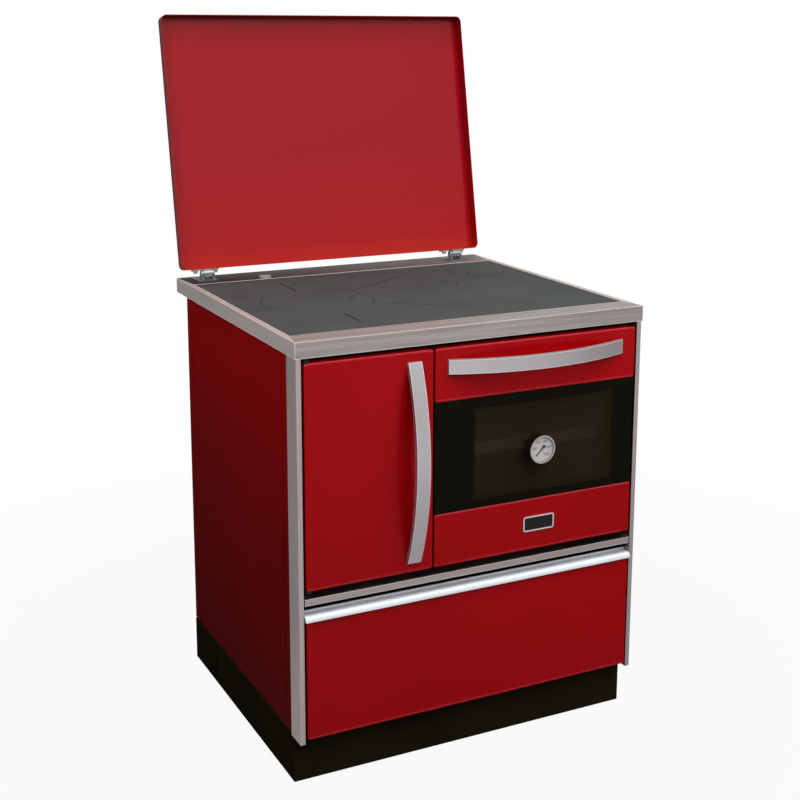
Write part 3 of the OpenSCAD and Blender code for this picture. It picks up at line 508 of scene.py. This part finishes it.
MATERIALS["dark_glass"] = glass("dark_glass", "282010", "302816", FILM_ALPHA, 0.03)
MATERIALS["clear_glass"] = glass("clear_glass", "A0A8A8", "B0B6B6", 0.06, 0.4)

# Painted highlight: lighter red where the enamel's edges round over upwards
paint_upper_edge_highlights(MATERIALS["red_enamel"], ENAMEL_EDGE_REACH, "D8505E")
# The hob is blackened below its top face, in its grooves and holes
blacken_below(MATERIALS["hob_iron"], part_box("hob_plate")[1][2] - BLACKENED_DEPTH, "0A0A0A")
# Painted shade: the side panels darken towards the floor
paint_shade_below(MATERIALS["red_enamel_side_shaded"], "side_panel_left", SIDE_PAINTED_SHADE, "060505")
line_at_depth(MATERIALS["plinth_black"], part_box("plinth_rear_section")[0][1], SEAM_REACH, "020202")
# Painted highlights along the metal edges
paint_edge_highlights(MATERIALS["stainless_top"], METAL_EDGE_REACH, "F4F0EE")
paint_edge_highlights(MATERIALS["stainless"], METAL_EDGE_REACH, "E8E2E0")
paint_edge_highlights(MATERIALS["handle_aluminium"], METAL_EDGE_REACH, "F0EEF0")
pane_low, pane_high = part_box("oven_door_inner_glass")
lap = Vector((GLASS_LAP, 0, GLASS_LAP))
print_border(MATERIALS["dark_glass"], Vector(pane_low) + lap, Vector(pane_high) - lap, FILM_ALPHA,
             BORDER_BLACK)

# Nodes whose finish isn't that of their slot in the record
SPECIAL = {
    "badge_frame": "trim_bright",
    "corner_post_left": "stainless_upright",
    "corner_post_right": "stainless_upright",
    "damper_knob": "trim_bright",
    "drawer_pull": "pull_aluminium",
    "flue_outlet_cover": "hob_iron",
    "hob_plate": "hob_iron",
    "hob_ring_cover": "hob_iron",
    "lid_tray": "red_enamel_lid",
    "oven_baking_tray": "tray_enamel",
    "oven_door_frame": "frame_black",
    "side_panel_left": "red_enamel_side_shaded",
    "side_panel_right": "red_enamel_side_shaded",
    "top_frame": "stainless_top",
}
slot_of = {part["node"]: part["material_slot"] for part in frame["record"]["subparts"]}
for node, piece in nodes.items():
    piece.data.materials.clear()
    piece.data.materials.append(MATERIALS[SPECIAL.get(node, slot_of[node])])


def round_edges(name, width, highlight_material=None):
    """Rounds a CAD piece's edges with a bevel, leaving its own mesh alone; a material given paints
    highlights on the bevel's faces.
    """
    piece = nodes[name]
    bevel = piece.modifiers.new("rounding", "BEVEL")
    bevel.width = width
    bevel.segments = 3
    bevel.limit_method = "ANGLE"
    bevel.angle_limit = math.radians(40)
    bevel.harden_normals = True
    if highlight_material:
        piece.data.materials.append(MATERIALS[highlight_material])
        bevel.material = 1


for node in ("fire_door_panel", "oven_door_top_panel", "oven_door_bottom_panel", "drawer_front"):
    round_edges(node, ENAMEL_ROUND, "red_enamel_edge_highlight")
for node in ("fire_door_handle", "oven_door_handle"):
    round_edges(node, HANDLE_ROUND, "aluminium_edge_highlight")
for node in ("top_frame", "cross_rail"):
    round_edges(node, FRAME_ROUND, "stainless_edge_highlight")
round_edges("drawer_pull", PULL_ROUND)


# Printed scale of the thermometer: ticks and plain numbers, a hair's breadth proud of the dial
def add_ribbon(verts, faces, start, end, width, back, front):
    """A thin bar from start to end in the dial's plane."""
    along = (end - start).normalized()
    side = Vector((-along.y, along.x)) * width / 2
    ends = (start - along * width / 2, end + along * width / 2)
    corners = [ends[0] - side, ends[1] - side, ends[1] + side, ends[0] + side]
    first = len(verts)
    for y in (front, back):
        verts.extend([(c.x, y, c.y) for c in corners])
    for loop in ((0, 1, 2, 3), (7, 6, 5, 4), (0, 4, 5, 1), (1, 5, 6, 2), (2, 6, 7, 3), (3, 7, 4, 0)):
        faces.append([first + i for i in loop])


def arc(x, z, rx, rz, start, end, steps=7):
    turns = [math.radians(start + (end - start) * i / steps) for i in range(steps + 1)]
    return [(x + rx * math.cos(a), z + rz * math.sin(a)) for a in turns]


# Strokes of each numeral in a box 0.6 wide and 1 high
STROKES = {
    "0": [arc(0.3, 0.5, 0.3, 0.5, 0, 360, 12)],
    "1": [[(0.1, 0.78), (0.32, 1.0), (0.32, 0.0)]],
    "2": [arc(0.3, 0.72, 0.28, 0.28, 170, -35) + [(0.0, 0.0), (0.6, 0.0)]],
    "3": [arc(0.27, 0.75, 0.27, 0.25, 150, -90) + arc(0.27, 0.25, 0.31, 0.27, 90, -150)],
    "4": [[(0.45, 0.0), (0.45, 1.0), (0.0, 0.3), (0.62, 0.3)]],
    "5": [[(0.55, 1.0), (0.1, 1.0), (0.06, 0.56)] + arc(0.26, 0.32, 0.32, 0.32, 110, -150)],
}


def scale_direction(share):
    """The way from the dial's middle to a place on the scale, from 0 to 1."""
    turn = SCALE_START - SCALE_SWEEP * share
    return Vector((math.cos(turn), math.sin(turn)))


def make_dial_print():
    """One mesh of the ticks and numbers on the dial's face."""
    low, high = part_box("thermometer_dial")
    middle = Vector(((low[0] + high[0]) / 2, (low[2] + high[2]) / 2))
    face = low[1] + STUB_LENGTH
    depths = (face + PRINT_THICK, face - PRINT_THICK)
    verts, faces = [], []
    for step in range(SCALE_STEPS + 1):
        out = scale_direction(step / SCALE_STEPS)
        inner = TICK_OUT - (TICK_SHORT if step % LONG_TICK_EVERY else TICK_LONG)
        add_ribbon(verts, faces, middle + out * inner, middle + out * TICK_OUT, TICK_WIDTH, *depths)
    for place, number in enumerate(SCALE_NUMBERS):
        centre = middle + scale_direction(place / (len(SCALE_NUMBERS) - 1)) * NUMBER_AT
        left = centre.x - DIGIT_PITCH * (len(number) - DIGIT_GAP) / 2
        for index, digit in enumerate(number):
            origin = Vector((left + index * DIGIT_PITCH, centre.y - NUMBER_HIGH / 2))
            for stroke in STROKES[digit]:
                points = [origin + Vector(point) * NUMBER_HIGH for point in stroke]
                for start, end in zip(points, points[1:]):
                    add_ribbon(verts, faces, start, end, STROKE_WIDTH, *depths)
    mesh = bpy.data.meshes.new("dial_print")
    mesh.from_pydata(verts, [], faces)
    mesh.update()
    mesh.materials.append(MATERIALS["needle_black"])
    return place_object("dial_print", mesh)


def place_object(name, data):
    """Puts an object of a mesh, lamp or camera into the scene."""
    placed = bpy.data.objects.new(name, data)
    bpy.context.scene.collection.objects.link(placed)
    return placed


dial_print = make_dial_print()
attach(dial_print, "oven_door")


# Floor, room and lamps
def floor_material(name):
    """A pale floor that the camera, glass and mirrors see lighter than it lights the cooker.

    The camera and glass see it white, but for a share of its lit colour near the cooker, which
    holds the cooker's shadow. Mirrors see it whiter in front and to the left.
    """
    made, tree, shader = new_material(name)
    tree.links.new(two_tones(tree, add_noise(tree, 2.0), "626262", "6A6A6A"),
                   shader.inputs["Base Color"])
    shader.inputs["Roughness"].default_value = FLOOR_ROUGH
    direct, mirror = ray_kinds(tree)
    place = object_place(tree)
    away = tree.nodes.new("ShaderNodeVectorMath")
    away.operation = "LENGTH"
    tree.links.new(place, away.inputs[0])
    whiteness = map_range(tree, away.outputs["Value"], SHADOW_NEAR, SHADOW_FAR, 1 - SHADOW_SHARE, 1.0)
    shown = math_node(tree, "MULTIPLY", direct, whiteness)
    share = gradient(tree, split_axes(tree, place), FLOOR_MIRROR, X=FLOOR_MIRROR_RIGHT,
                     Y=-FLOOR_MIRROR_FRONT)
    share = between(tree, share, FLOOR_MIRROR_LEAST, FLOOR_MIRROR_MOST)
    mirrored = math_node(tree, "MULTIPLY", share, mirror)
    glow = tree.nodes.new("ShaderNodeEmission")
    glow.inputs["Color"].default_value = (1, 1, 1, 1)
    glow.inputs["Strength"].default_value = 1.0
    seen = mix_shaders(tree, math_node(tree, "MAXIMUM", shown, mirrored), shader.outputs["BSDF"],
                       glow.outputs["Emission"])
    tree.links.new(seen, tree.nodes["Material Output"].inputs["Surface"])
    return made


def make_room(name):
    """A room that is brighter overhead and dimmer to the left.

    The camera and glass see it white, and mirrors see a mix of that white and the room.
    """
    world = bpy.data.worlds.new(name)
    world.use_nodes = True
    tree = world.node_tree
    axes = split_axes(tree, tree.nodes.new("ShaderNodeTexCoord").outputs["Generated"])
    room = tree.nodes["Background"]
    room.inputs["Color"].default_value = (1, 1, 1, 1)
    level = gradient(tree, axes, ROOM_LEVEL, X=ROOM_RIGHT, Z=ROOM_UP)
    tree.links.new(math_node(tree, "MAXIMUM", level, ROOM_LEAST), room.inputs["Strength"])
    white = tree.nodes.new("ShaderNodeBackground")
    white.inputs["Color"].default_value = (1, 1, 1, 1)
    white.inputs["Strength"].default_value = 1.0
    direct, mirror = ray_kinds(tree)
    share = gradient(tree, axes, MIRROR_LEVEL, X=MIRROR_RIGHT, Y=-MIRROR_FRONT, Z=MIRROR_UP)
    mirrored = math_node(tree, "MULTIPLY", mirror, between(tree, share, 0.0, 1.0))
    seen = mix_shaders(tree, math_node(tree, "MAXIMUM", direct, mirrored),
                       room.outputs["Background"], white.outputs["Background"])
    tree.links.new(seen, tree.nodes["World Output"].inputs["Surface"])
    return world


def area_light(name, at, target, size, power, in_mirrors):
    lamp = bpy.data.lights.new(name, "AREA")
    lamp.shape = "RECTANGLE"
    lamp.size = size
    lamp.size_y = size
    lamp.energy = power
    lit = place_object(name, lamp)
    lit.location = at
    lit.rotation_euler = (Vector(target) - Vector(at)).to_track_quat("-Z", "Y").to_euler()
    lit.visible_camera = False
    lit.visible_glossy = in_mirrors


floor_mesh = bpy.data.meshes.new("floor")
floor_mesh.from_pydata(
    [(-FLOOR_HALF, -FLOOR_HALF, 0), (FLOOR_HALF, -FLOOR_HALF, 0), (FLOOR_HALF, FLOOR_HALF, 0),
     (-FLOOR_HALF, FLOOR_HALF, 0)], [], [(0, 1, 2, 3)])
floor_mesh.materials.append(floor_material("floor_pale"))
floor = place_object("floor", floor_mesh)
bpy.context.scene.world = make_room("studio")
for lamp in LAMPS:
    area_light(*lamp)


def make_camera(name):
    """The photograph's camera, with the shift that its framing needs."""
    lens = bpy.data.cameras.new(name)
    lens.sensor_width = SENSOR_WIDTH_MM
    lens.lens = FOCAL_PX / IMAGE_PX * SENSOR_WIDTH_MM
    lens.shift_x = (IMAGE_PX / 2 - CENTRE_PX[0]) / IMAGE_PX
    lens.shift_y = (CENTRE_PX[1] - IMAGE_PX / 2) / IMAGE_PX
    level = math.cos(PITCH)
    forward = Vector((-math.sin(YAW) * level, math.cos(YAW) * level, -math.sin(PITCH)))
    right = Vector((math.cos(YAW), math.sin(YAW), 0))
    up = right.cross(forward)
    rolled_right = right * math.cos(ROLL) + up * math.sin(ROLL)
    rolled_up = rolled_right.cross(forward)
    axes = Matrix((rolled_right, rolled_up, -forward)).transposed().to_4x4()
    placed = place_object(name, lens)
    placed.matrix_world = Matrix.Translation(CAMERA_AT) @ axes
    return placed


bpy.context.scene.camera = make_camera("camera")
bpy.context.scene.view_settings.view_transform = "Standard"
